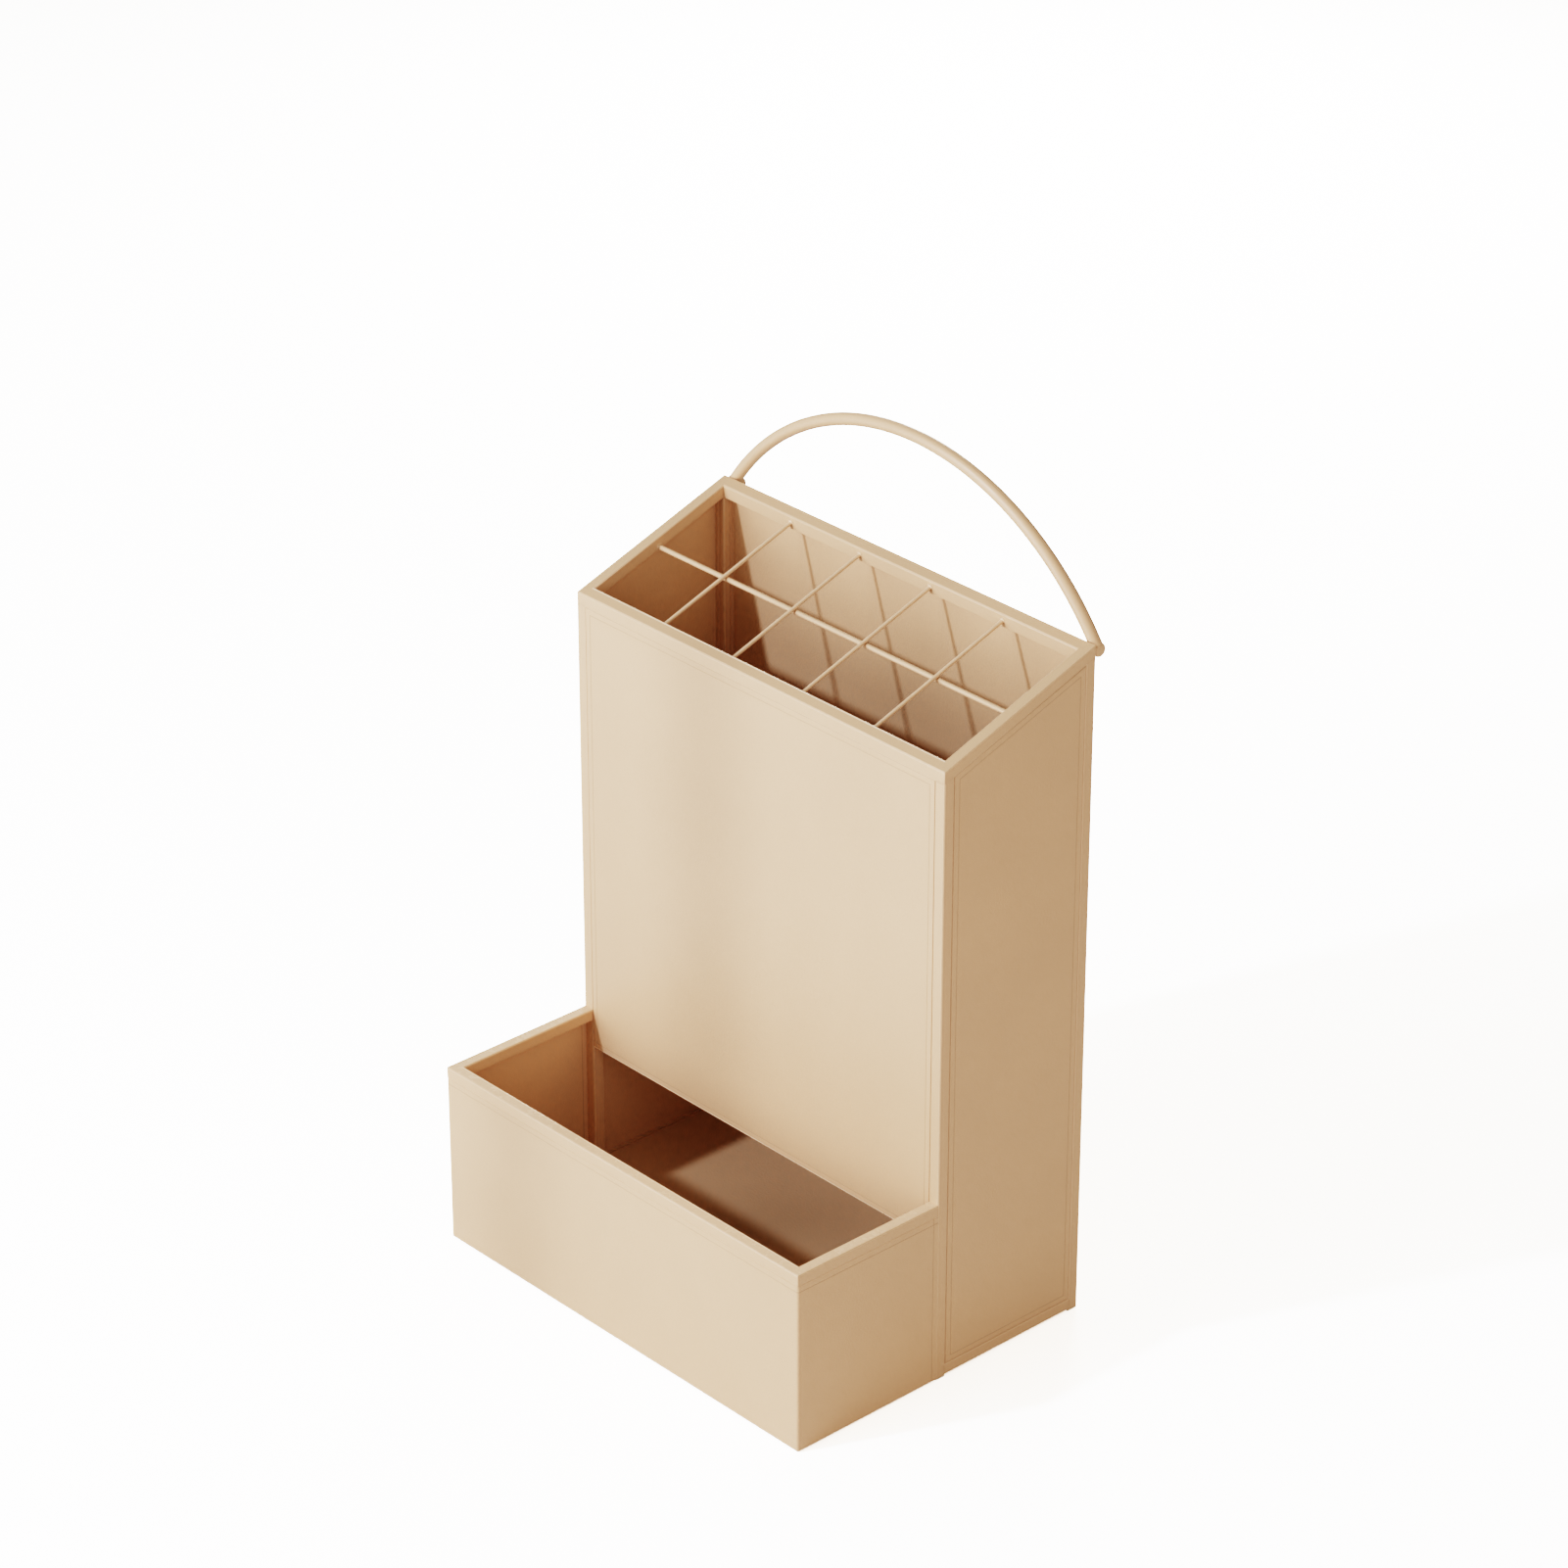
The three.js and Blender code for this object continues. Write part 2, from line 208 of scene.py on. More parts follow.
def noise(tree, where, cells_per_metre, detail=2.0, rough=0.5):
    """Noise between about 0.3 and 0.7, with its size given as cells in a metre."""
    made = add_node(tree, "ShaderNodeTexNoise")
    tree.links.new(where, made.inputs["Vector"])
    made.inputs["Scale"].default_value = cells_per_metre
    made.inputs["Detail"].default_value = detail
    made.inputs["Roughness"].default_value = rough
    return made.outputs["Fac"]


def swing(tree, value, amount):
    """The distance of a noise from its middle, times an amount."""
    return math_node(tree, "MULTIPLY", math_node(tree, "SUBTRACT", value, 0.5), amount)


def smooth_range(tree, value, value_range, result_range):
    """A Map Range node that eases from one result to another."""
    made = add_node(tree, "ShaderNodeMapRange", interpolation_type="SMOOTHSTEP")
    tree.links.new(value, made.inputs["Value"])
    made.inputs["From Min"].default_value, made.inputs["From Max"].default_value = value_range
    made.inputs["To Min"].default_value, made.inputs["To Max"].default_value = result_range
    return made.outputs["Result"]


print("node helpers ready")

# %% [markdown]
# ## A band of painted shade
# One soft band of painted shade runs down the front panel and on down the apron, darkening the
# coat's colour. It is the distance from an upright plane that is turned a little, eased out to
# nothing. The band grows weaker towards the back.

# %% The band of painted shade
# The sizes of the band of painted shade.
shade_band_turn = -0.46
shade_band_offset = 0.051
shade_band_half_width = 0.085
shade_band_darkening = -0.17
weak_from_y = 0.12
weak_share = 0.35


def painted_shade_band(tree, position):
    """How much the band of painted shade darkens the coat, as a negative number."""
    apart = add_node(tree, "ShaderNodeSeparateXYZ")
    tree.links.new(position, apart.inputs["Vector"])
    turned = math_node(tree, "MULTIPLY", apart.outputs["Y"], shade_band_turn)
    across = math_node(tree, "ADD", apart.outputs["X"], turned)
    from_middle = math_node(tree, "ABSOLUTE", math_node(tree, "ADD", across, shade_band_offset), 0)
    band = smooth_range(tree, from_middle, (0.0, shade_band_half_width), (shade_band_darkening, 0.0))
    frontness = smooth_range(tree, apart.outputs["Y"], (0.0, weak_from_y), (1.0, weak_share))
    return math_node(tree, "MULTIPLY", band, frontness)


# The overlap band printed here is the band of painted shade.
print("overlap band is", 2 * shade_band_half_width, "m wide")

# %% [markdown]
# ## Lighter edges and darker seams
# Edges, tops and rods are painted lighter: partly wear where umbrellas and hands rub, partly
# painted highlight. The seams and pressed lines are painted darker, which is painted shade in the
# grooves.
# Both follow one number that each face carries: above zero the face is lighter, below zero darker.
# A pointiness or bevel node would find edges by itself, but it wouldn't know which of them to mark.

# %% Painted highlight and painted shade
# The colour of the painted highlight (partly wear), and of the painted shade in the seams.
highlight_and_wear_colour = (0.98, 0.77, 0.58, 1)
seam_shade_colour = (0.28, 0.16, 0.08, 1)
seam_shade_strength = -0.62
least_edge_light = 0.12
patchy_edge_light = 0.16


def paint_edge_light_and_shade(tree, colour, edge, patches):
    """The coat's colour, lighter where marked (painted highlight, partly wear) and darker in its
    seams (painted shade).
    """
    lightened = add_node(tree, "ShaderNodeMix", data_type="RGBA", blend_type="MIX")
    patchy = math_node(tree, "MULTIPLY", patches, patchy_edge_light)
    uneven = math_node(tree, "ADD", patchy, least_edge_light)
    light_mark = math_node(tree, "MULTIPLY", math_node(tree, "MAXIMUM", edge, 0.0), uneven)
    tree.links.new(math_node(tree, "MINIMUM", light_mark, 1.0), lightened.inputs["Factor"])
    tree.links.new(colour, lightened.inputs["A"])
    lightened.inputs["B"].default_value = highlight_and_wear_colour
    shaded = add_node(tree, "ShaderNodeMix", data_type="RGBA", blend_type="MIX")
    seam_shade_amount = math_node(tree, "MULTIPLY", math_node(tree, "MINIMUM", edge, 0.0), seam_shade_strength)
    tree.links.new(seam_shade_amount, shaded.inputs["Factor"])
    tree.links.new(lightened.outputs["Result"], shaded.inputs["A"])
    shaded.inputs["B"].default_value = seam_shade_colour
    return shaded.outputs["Result"]


print("rub and dust ready")

# %% [markdown]
# ## Powder coat as a node group
# Baked powder has a faint orange peel, a tone that drifts slowly where the film is thicker, and a
# fine grain. Thin sheet isn't quite flat either, so its reflections wander in long upright bands.
# All the steel wears this coat, so it is one group with named inputs, and each material sets its
# own amounts.

# %% The group's sockets
def coat_group():
    """An empty powder coat group with its named inputs and outputs."""
    group = bpy.data.node_groups.new("powder_coat", "ShaderNodeTree")
    face = group.interface
    for name, kind in (
        ("Position", "NodeSocketVector"),
        ("Coat Colour", "NodeSocketColor"),
        ("Edge", "NodeSocketFloat"),
        ("Roughness", "NodeSocketFloat"),
        ("Drift", "NodeSocketFloat"),
    ):
        face.new_socket(name, in_out="INPUT", socket_type=kind)
    for name, kind in (
        ("Colour", "NodeSocketColor"),
        ("Roughness", "NodeSocketFloat"),
        ("Peel", "NodeSocketFloat"),
        ("Sheet Wave", "NodeSocketFloat"),
    ):
        face.new_socket(name, in_out="OUTPUT", socket_type=kind)
    return group


powder_coat = coat_group()
print("powder coat has", len(powder_coat.interface.items_tree), "sockets")

# %% [markdown]
# ## Inside the powder coat
# Five noises of very different sizes make the finish, from clouds of a hand's width down to a grain
# of a millimetre. Those that change the tone or the gloss are centred before they are scaled, so
# turning one up doesn't shift the whole colour. The sheet's wave is the same kind of noise
# stretched upright, because sheet leaves the rolls with long shallow waves.

# %% The group's nodes
cloud_cells, cloud_swing = 7, 0.16
grain_cells, grain_swing = 1100, 0.10
patch_cells, gloss_swing = 160, 0.14
peel_cells, grain_in_peel = 520, 0.35
wave_cells, wave_stretch = 11, (1.0, 1.0, 0.12)
gloss_of_edge_light = -0.07


def fill_powder_coat(group):
    """Position, coat colour and edge mask in; colour, roughness and two heights out."""
    given = add_node(group, "NodeGroupInput").outputs
    out = add_node(group, "NodeGroupOutput").inputs
    link = group.links.new
    clouds = noise(group, given["Position"], cloud_cells, 3, 0.55)
    grain = noise(group, given["Position"], grain_cells, 2, 0.6)
    patches = noise(group, given["Position"], patch_cells, 2, 0.5)

    clouded = swing(group, clouds, cloud_swing)
    uneven = math_node(group, "ADD", clouded, swing(group, grain, grain_swing))
    # Adds the band of painted shade to the coat's tone.
    uneven = math_node(group, "ADD", uneven, painted_shade_band(group, given["Position"]))
    tone = math_node(group, "ADD", math_node(group, "MULTIPLY", uneven, given["Drift"]), 1.0)
    toned = add_node(group, "ShaderNodeVectorMath", operation="SCALE")
    link(given["Coat Colour"], toned.inputs[0])
    link(tone, toned.inputs["Scale"])
    link(paint_edge_light_and_shade(group, toned.outputs["Vector"], given["Edge"], patches), out["Colour"])

    edge_gloss = math_node(group, "MULTIPLY", given["Edge"], gloss_of_edge_light)
    matt = math_node(group, "ADD", given["Roughness"], swing(group, patches, gloss_swing))
    link(math_node(group, "ADD", matt, edge_gloss), out["Roughness"])

    peel = noise(group, given["Position"], peel_cells, 1, 0.4)
    fine = math_node(group, "MULTIPLY", grain, grain_in_peel)
    link(math_node(group, "ADD", peel, fine), out["Peel"])
    stretched = add_node(group, "ShaderNodeVectorMath", operation="MULTIPLY")
    link(given["Position"], stretched.inputs[0])
    stretched.inputs[1].default_value = wave_stretch
    link(noise(group, stretched.outputs["Vector"], wave_cells, 1, 0.4), out["Sheet Wave"])


fill_powder_coat(powder_coat)
print("powder coat group has", len(powder_coat.nodes), "nodes")

# %% [markdown]
# ## The painted steel
# Tube, sheet and rod leave the same paint booth, so they share one cream colour. They differ in
# how flat they are: sheet waves a little, tube less, and drawn rod not at all. The edge mask is a
# face attribute that is written while each piece is shaped.

# %% Painted steel materials
cream = (0.70, 0.475, 0.31, 1)


def bump(tree, height, depth):
    """A Bump node for a height of that depth, in metres."""
    made = add_node(tree, "ShaderNodeBump")
    made.inputs["Distance"].default_value = depth
    made.inputs["Strength"].default_value = 1.0
    tree.links.new(height, made.inputs["Height"])
    return made


def painted(name, roughness, drift, wave_depth, peel_depth):
    """A powder-coated steel material; depths are in metres."""
    paint = bpy.data.materials.new(name)
    paint.use_nodes = True
    tree = paint.node_tree
    shader = tree.nodes["Principled BSDF"]
    shader.inputs["Metallic"].default_value = 0.0
    shader.inputs["IOR"].default_value = 1.5
    place = add_node(tree, "ShaderNodeTexCoord")
    # This face attribute carries the painted highlights and the painted shade.
    edge = add_node(tree, "ShaderNodeAttribute", attribute_name="painted_edge_light")
    coat = add_node(tree, "ShaderNodeGroup", node_tree=powder_coat)
    coat.inputs["Coat Colour"].default_value = cream
    coat.inputs["Roughness"].default_value = roughness
    coat.inputs["Drift"].default_value = drift
    tree.links.new(place.outputs["Object"], coat.inputs["Position"])
    tree.links.new(edge.outputs["Fac"], coat.inputs["Edge"])
    wave = bump(tree, coat.outputs["Sheet Wave"], wave_depth)
    peel = bump(tree, coat.outputs["Peel"], peel_depth)
    tree.links.new(wave.outputs["Normal"], peel.inputs["Normal"])
    tree.links.new(coat.outputs["Colour"], shader.inputs["Base Color"])
    tree.links.new(coat.outputs["Roughness"], shader.inputs["Roughness"])
    tree.links.new(peel.outputs["Normal"], shader.inputs["Normal"])
    return paint


paints = {
    "painted_tube": painted("painted_tube", 0.40, 0.7, 0.0001, 0.00006),
    "painted_sheet": painted("painted_sheet", 0.43, 1.0, 0.0006, 0.00007),
    "painted_rod": painted("painted_rod", 0.38, 0.6, 0.0, 0.00005),
}
print("paints:", ", ".join(paints))

# %% [markdown]
# ## The plastic of the feet
# The feet are moulded plugs in a matt plastic of nearly the same cream. The mould leaves a fine
# grain, and the colour clouds a little. One noise serves both the grain's height and its
# roughness, because on a real moulding they are the same dimples.

# %% Foot material
foot_colour = (0.58, 0.48, 0.36, 1)
cloud_darkening = 0.82
mould_grain_cells = 2600
mould_cloud_cells = 140
mould_grain_depth = 0.00006


def moulded_plastic(name, colour):
    """A matt moulded plastic with a fine grain and faint clouds."""
    plastic = bpy.data.materials.new(name)
    plastic.use_nodes = True
    tree = plastic.node_tree
    shader = tree.nodes["Principled BSDF"]
    place = add_node(tree, "ShaderNodeTexCoord")
    grain = noise(tree, place.outputs["Object"], mould_grain_cells, 2, 0.6)
    blotch = noise(tree, place.outputs["Object"], mould_cloud_cells, 2, 0.5)
    tint = add_node(tree, "ShaderNodeMix", data_type="RGBA", blend_type="MIX")
    tint.inputs["A"].default_value = colour
    tint.inputs["B"].default_value = tuple(cloud_darkening * c for c in colour[:3]) + (1,)
    tree.links.new(blotch, tint.inputs["Factor"])
    tree.links.new(tint.outputs["Result"], shader.inputs["Base Color"])
    dimpled = math_node(tree, "MULTIPLY", grain, 0.2)
    tree.links.new(math_node(tree, "ADD", dimpled, 0.5), shader.inputs["Roughness"])
    dimple = bump(tree, grain, mould_grain_depth)
    tree.links.new(dimple.outputs["Normal"], shader.inputs["Normal"])
    return plastic


paints["foot_plastic"] = moulded_plastic("foot_plastic", foot_colour)
print("foot plastic ready")

# %% [markdown]
# ## From exact steel to a softened piece
# Real tube has rounded corners and real sheet has rounded bends, and those catch the thin bright
# lines that make metal look like metal. A piece could be drawn again from its sizes, but a copy
# of the exact piece can't be wrong in size. Its loose triangles are merged and dissolved into flat
# faces, and then only the edges that are round on the real piece are bevelled.

# %% Copy a piece, and round its edges
same_point = 2e-6
same_plane = math.radians(0.6)


def merged_copy(node):
    """The exact piece as a bmesh of clean flat faces."""
    mesh = bmesh.new()
    mesh.from_mesh(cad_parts[node].data)
    bmesh.ops.remove_doubles(mesh, verts=mesh.verts, dist=same_point)
    bmesh.ops.dissolve_limit(
        mesh, angle_limit=same_plane, verts=mesh.verts, edges=mesh.edges, delimit=set()
    )
    return mesh


def painted_light_layer(mesh):
    """The face layer that holds how much lighter (above zero: painted highlight, partly wear) or
    darker (below zero: painted shade) a face is painted.
    """
    return mesh.faces.layers.float.get("painted_edge_light") or mesh.faces.layers.float.new("painted_edge_light")


def soften(mesh, edges, radius, segments, edge_light_value):
    """Rounds some edges and marks the new faces for painted highlight or painted shade, as the
    value says.
    """
    light_mark = painted_light_layer(mesh)
    made = bmesh.ops.bevel(
        mesh,
        geom=edges,
        offset=radius,
        offset_type="OFFSET",
        segments=segments,
        profile=0.5,
        affect="EDGES",
        clamp_overlap=True,
        material=-1,
    )
    for face in made["faces"]:
        face[light_mark] = edge_light_value


print("copying and rounding ready")

# %% [markdown]
# ## Finishing a piece
# A finished piece is shaded smooth, with edges over a given angle kept sharp. Weighted normals
# let the large flat faces stay flat and leave all the turning to the narrow bevels, so a bevel
# looks like a bend in steel and not like a pillow. Slivers left by cuts are dissolved first.

# %% Turn a bmesh into a painted piece
def finish_piece(mesh, name, nodes, slot, sharp_over=50):
    """Turns a bmesh into a painted piece that stands for the given exact pieces."""
    bmesh.ops.dissolve_degenerate(mesh, dist=same_point, edges=mesh.edges)
    for face in mesh.faces:
        face.smooth = True
    for edge in mesh.edges:
        if len(edge.link_faces) == 2:
            edge.smooth = edge.calc_face_angle(0) < math.radians(sharp_over)
    data = bpy.data.meshes.new(name)
    mesh.to_mesh(data)
    mesh.free()
    piece = bpy.data.objects.new(name, data)
    scene.collection.objects.link(piece)
    data.materials.append(paints[slot])
    level = piece.modifiers.new("flat faces stay flat", "WEIGHTED_NORMAL")
    level.keep_sharp = True
    level.weight = 80
    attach(piece, "root")
    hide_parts(*nodes)
    return piece


print("finishing ready")

# %% [markdown]
# ## Places that several pieces share
# The rails, the panels and the rods all meet at the rim, so its faces and its slope are read once
# from the exact pieces.

# %% Read the shared places
tall_low, tall_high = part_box("front_post_left")[0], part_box("rear_post_right")[1]
tray_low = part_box("tray_rim_front")[0]
rim_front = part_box("rim_rail_front")
rim_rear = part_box("rim_rail_rear")
rise = (rim_rear[1].z - rim_front[1].z) / (rim_rear[1].y - rim_front[1].y)
print("the rim rises", round(rise, 3), "metres for each metre of depth")

# %% [markdown]
# ## Moves and cuts
# After a weld is ground flush, no joint shows. So some ends run a little way into their
# neighbours. A bisect with one side cleared and filled is a clean saw cut, and a bisect that
# clears nothing is a scribed line, along which one strip of a face can be marked.

# %% Helpers that move and cut
mitre_depth = 0.009
on_the_cut = 1e-7


def shift_by(axis, outward, reach):
    """A move of that reach along one axis, outwards being 1 or -1."""
    move = [0, 0, 0]
    move[axis] = outward * reach
    return move


def push_end(mesh, axis, outward, reach):
    """Runs one end of a tube a little into its neighbour, with all of its mitre."""
    far = max(v.co[axis] * outward for v in mesh.verts)
    near_end = [v for v in mesh.verts if v.co[axis] * outward > far - mitre_depth]
    bmesh.ops.translate(mesh, vec=shift_by(axis, outward, reach), verts=near_end)


def saw_off(mesh, point, outward):
    """Cuts the mesh on a plane, clears the outer side and closes the cut."""
    geometry = mesh.verts[:] + mesh.edges[:] + mesh.faces[:]
    cut = bmesh.ops.bisect_plane(
        mesh, geom=geometry, dist=on_the_cut, plane_co=point, plane_no=outward, clear_outer=True
    )
    rim = [item for item in cut["geom_cut"] if isinstance(item, bmesh.types.BMEdge)]
    if rim:
        bmesh.ops.edgeloop_fill(mesh, edges=rim)


def scribe(mesh, point, facing):
    """Splits the faces of a mesh along a plane and gives back the points on that plane."""
    geometry = mesh.verts[:] + mesh.edges[:] + mesh.faces[:]
    cut = bmesh.ops.bisect_plane(
        mesh, geom=geometry, dist=on_the_cut, plane_co=point, plane_no=facing
    )
    return [item for item in cut["geom_cut"] if isinstance(item, bmesh.types.BMVert)]


print("moves and cuts ready")

# %% [markdown]
# ## Square tube
# Every post and rail is 10 mm tube. The exact tube has one flat cut along each corner. Rounding
# both sides of that flat by half of its width makes them meet, which gives a true round corner of
# 1.4 mm. Only the long edges are rounded. The mitred ends stay sharp, so two rails meet in a
# closed line.

# %% Corner sizes of the tube
corner_radius = 0.001365
corner_leg = 0.0008
shortest_long_edge = 0.02
least_corner_angle = math.radians(20)
# Tube corners are painted lighter, partly as wear and partly as painted highlight.
corner_wear_highlight = 1.3


def round_tube(mesh):
    """Rounds the four long corners of a tube, inside and out."""
    long_edges = [
        edge
        for edge in mesh.edges
        if edge.calc_length() > shortest_long_edge
        and edge.calc_face_angle(0) > least_corner_angle
    ]
    soften(mesh, long_edges, corner_radius - corner_leg, segments=4, edge_light_value=corner_wear_highlight)


print("tube corners of", corner_radius * 1000, "mm")

# %% [markdown]
# ## Painted light on the rails
# The flat tops of the tray's rails are painted lighter, which is painted light. Along the inner
# edge of the two front rails a thin strip is painted as a bright line, a painted highlight. The
# tops are marked as they are. For the line, the top is first scribed close to its inner edge.

# %% Mark the painted light on tops and edges
# Painted light on the tray's rail tops, and a painted highlight strip on the front rails' inner
# edges.
highlight_strip = 0.0007
top_painted_light = 2.0
strip_highlight = 5.0
level_top = 0.99
turned_up = 0.25


def paint_top_highlights(mesh, node):
    """Marks painted light on the tops of the tray's rails, and a painted highlight on the inner top
    edge of the two front rails.
    """
    light_mark = painted_light_layer(mesh)
    if node.startswith("tray_rim"):
        for face in mesh.faces:
            if face.normal.z > level_top:
                face[light_mark] = top_painted_light
    if node in ("rim_rail_front", "tray_rim_front"):
        inner = max(v.co.y for v in mesh.verts) - corner_radius - highlight_strip
        scribe(mesh, Vector((0, inner, 0)), Vector((0, 1, 0)))
        mesh.normal_update()
        for face in mesh.faces:
            if face.calc_center_median().y > inner and face.normal.z > turned_up:
                face[light_mark] = strip_highlight


print("polishing ready")

# %% [markdown]
# ## Ends and upright corners
# Posts run up into the rim, and the side and rear base rails of the tall box run into the posts,
# by one corner radius, so their ground-flush welds leave no groove. Where two mitred rails meet at
# an upright corner of the stand, the grinder also rounds that corner, to match the posts below. A
# row of upright saw cuts, each turned a little further, makes that round.

# %% Flush ends and ground corners
def flush_ends(mesh, node):
    """Runs the welded ends of posts and base rails into their neighbours."""
    ends = []
    if node.startswith(("front_post", "rear_post")):
        ends = [(2, 1)]
    if node in ("base_rail_left", "base_rail_right"):
        ends = [(1, -1), (1, 1)]
    if node == "base_rail_rear":
        ends = [(0, -1), (0, 1)]
    for axis, outward in ends:
        push_end(mesh, axis, outward, corner_radius)


def grind_corner(mesh, corner, inward, cuts=5):
    """Saws the upright outer corner of a mitred end down to a round."""
    centre = corner + Vector((inward[0], inward[1], 0)) * corner_radius
    for cut in range(1, cuts):
        angle = math.pi / 2 * cut / cuts
        facing = Vector((-inward[0] * math.cos(angle), -inward[1] * math.sin(angle), 0))
        saw_off(mesh, centre + facing * corner_radius, facing)


def grind_mitres(mesh, node):
    """Rounds the upright corners that a rail of the rim or of the tray takes part in."""
    corners = []
    if node.startswith("rim_rail"):
        corners = [(x, y) for x in (tall_low.x, tall_high.x) for y in (tall_low.y, tall_high.y)]
    if node.startswith("tray_rim"):
        corners = [(x, tray_low.y) for x in (tall_low.x, tall_high.x)]
    for x, y in corners:
        inward = (-math.copysign(1, x), -1 if y == tall_high.y else 1)
        grind_corner(mesh, Vector((x, y, 0)), inward)


print("ends and corners ready")

# %% [markdown]
# ## All the tubes, one after another
# The order matters. The long corners are rounded first, while the tube is still plain, because a
# bevel is safest on clean edges. The marks come next, and the ends and the saw cuts last.

# %% Shape all the tubes
tubes = [n for n in steel if "_post_" in n or "rail" in n or n.startswith("tray_rim")]
for node in tubes:
    mesh = merged_copy(node)
    round_tube(mesh)
    paint_top_highlights(mesh, node)
    flush_ends(mesh, node)
    grind_mitres(mesh, node)
    finish_piece(mesh, node + "_tube", [node], "painted_tube")
print(len(tubes), "tubes softened")

# %% [markdown]
# ## Folded panels
# Each panel is a sheet with its four edges folded in. The folds are tight, and the panel's borders
# run a little way over the round corners of the frame. So the seam is a shallow groove painted
# darker with painted shade, and not an open gap. The rear rail's underside slopes, so the rear
# panel reaches further up to meet it.

# %% Run a border out to the frame
fold_radius = 0.0006
# Painted shade in the seams and in the pressed lines.
seam_shade = -0.5
side_lap = 0.0005
top_lap = 0.0009
rear_top_lap = 0.0022
border_depth = 0.001


def run_out(mesh, axis, outward, reach, slope=0.0):
    """Runs one border of a panel out into the frame, flange and all."""

    def distance_out(vert):
        """How far out a point lies, measured from a border that may slope."""
        return (vert.co[axis] - slope * vert.co.y) * outward

    border = max(distance_out(v) for v in mesh.verts)
    near = [v for v in mesh.verts if distance_out(v) > border - border_depth]
    bmesh.ops.translate(mesh, vec=shift_by(axis, outward, reach), verts=near)


def lap_borders(mesh, node, axis):
    """Laps the two sides and the top of a panel over the corners of the frame."""
    along = 1 - axis
    run_out(mesh, along, -1, side_lap)
    run_out(mesh, along, 1, side_lap)
    top_slope = rise if axis == 0 else 0.0
    run_out(mesh, 2, 1, rear_top_lap if node == "rear_panel" else top_lap, top_slope)


print("panel borders lap the frame by", side_lap * 1000, "to", rear_top_lap * 1000, "mm")

# %% [markdown]
# ## The pressed line
# A second fine line runs round every panel, about 4 mm inside its seam, where the press holds the
# sheet while the flange is folded. Three insets of the flat face make it: one finds its place, one
# steps in and one steps back out. It is real geometry, so it catches light from any side. Its two
# sloping strips are also painted darker, which is painted shade.

# %% Press a line into a flat face
press_line_from_fold = 0.0042
press_line_half_width = 0.0004
press_line_depth = 0.0002


def press_line(mesh, face):
    """Presses a fine line into a flat face, all round and a little inside its border."""
    light_mark = painted_light_layer(mesh)
    for width, depth in (
        (press_line_from_fold, 0),
        (press_line_half_width, -press_line_depth),
        (press_line_half_width, press_line_depth),
    ):
        ring = bmesh.ops.inset_individual(
            mesh, faces=[face], thickness=width, depth=depth, use_even_offset=True
        )
        if depth:
            for strip in ring["faces"]:
                strip[light_mark] = seam_shade


print("pressed lines are", press_line_depth * 1000, "mm deep")

# %% [markdown]
# ## The free edge of the front panel
# The front panel stops short of the floor. Its lower edge gets a painted highlight like the edges
# of the rails: a narrow strip is scribed off above the fold, and the strip and the fold are
# marked.

# %% Find the flat faces, and paint a highlight on the free edge
on_the_plane = 2e-5
outer_planes = {
    "front_panel": (1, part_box("front_panel")[0].y),
    "rear_panel": (1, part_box("rear_panel")[1].y),
    "left_panel": (0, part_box("left_panel")[0].x),
    "right_panel": (0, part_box("right_panel")[1].x),
}


def outer_face(mesh, axis, level):
    """The largest flat face that lies on the panel's outer plane."""

    def rank(face):
        """Nearest to the plane first, and then the largest."""
        return -round(abs(face.calc_center_median()[axis] - level), 4), face.calc_area()

    return max((f for f in mesh.faces if abs(f.normal[axis]) > 0.999), key=rank)


def paint_lower_edge_highlight(mesh, above):
    """Marks the front of the panel below a height with a painted highlight."""
    light_mark = painted_light_layer(mesh)
    scribe(mesh, Vector((0, 0, above)), Vector((0, 0, 1)))
    mesh.normal_update()
    for face in mesh.faces:
        if face.calc_center_median().z < above and face.normal.y < -0.5:
            face[light_mark] = strip_highlight


print("outer planes at", {name: round(plane[1], 4) for name, plane in outer_planes.items()})

# %% [markdown]
# ## All four panels
# The borders are lapped first, while a panel is still a plain folded sheet. Then its folds are
# rounded, and the line is pressed into what is left of the flat face.

# %% Shape the panels
for node, (axis, level) in outer_planes.items():
    mesh = merged_copy(node)
    lap_borders(mesh, node, axis)
    folds = [
        edge
        for edge in mesh.edges
        if all(abs(v.co[axis] - level) < on_the_plane for v in edge.verts)
    ]
    soften(mesh, folds, fold_radius, segments=3, edge_light_value=seam_shade)
    press_line(mesh, outer_face(mesh, axis, level))
    if node == "front_panel":
        paint_lower_edge_highlight(mesh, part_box(node)[0].z + fold_radius + highlight_strip)
    finish_piece(mesh, node + "_sheet", [node], "painted_sheet", sharp_over=35)
print(len(outer_planes), "panels softened")

# %% [markdown]
# ## The tray's apron
# One sheet is bent round the front of the tray and both of its sides. Its top laps the tray's
# rails, and its rear ends close against the front posts, so no light leaks through. It has the
# same pressed line as the panels, one under its top and one near each rear end.

# %% Close the apron against its neighbours
apron_low, apron_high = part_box("tray_apron")
sheet_thickness = 0.0008
at_the_border = 1e-5
mesh = merged_copy("tray_apron")
light_mark = painted_light_layer(mesh)
back_end = [v for v in mesh.verts if v.co.y > apron_high.y - at_the_border]
to_the_posts = tall_low.y - apron_high.y + side_lap
bmesh.ops.translate(mesh, vec=(0, to_the_posts, 0), verts=back_end)
top_edge = [v for v in mesh.verts if v.co.z > apron_high.z - at_the_border]
bmesh.ops.translate(mesh, vec=(0, 0, top_lap), verts=top_edge)
print("apron reaches", round(to_the_posts * 1000, 2), "mm further back")

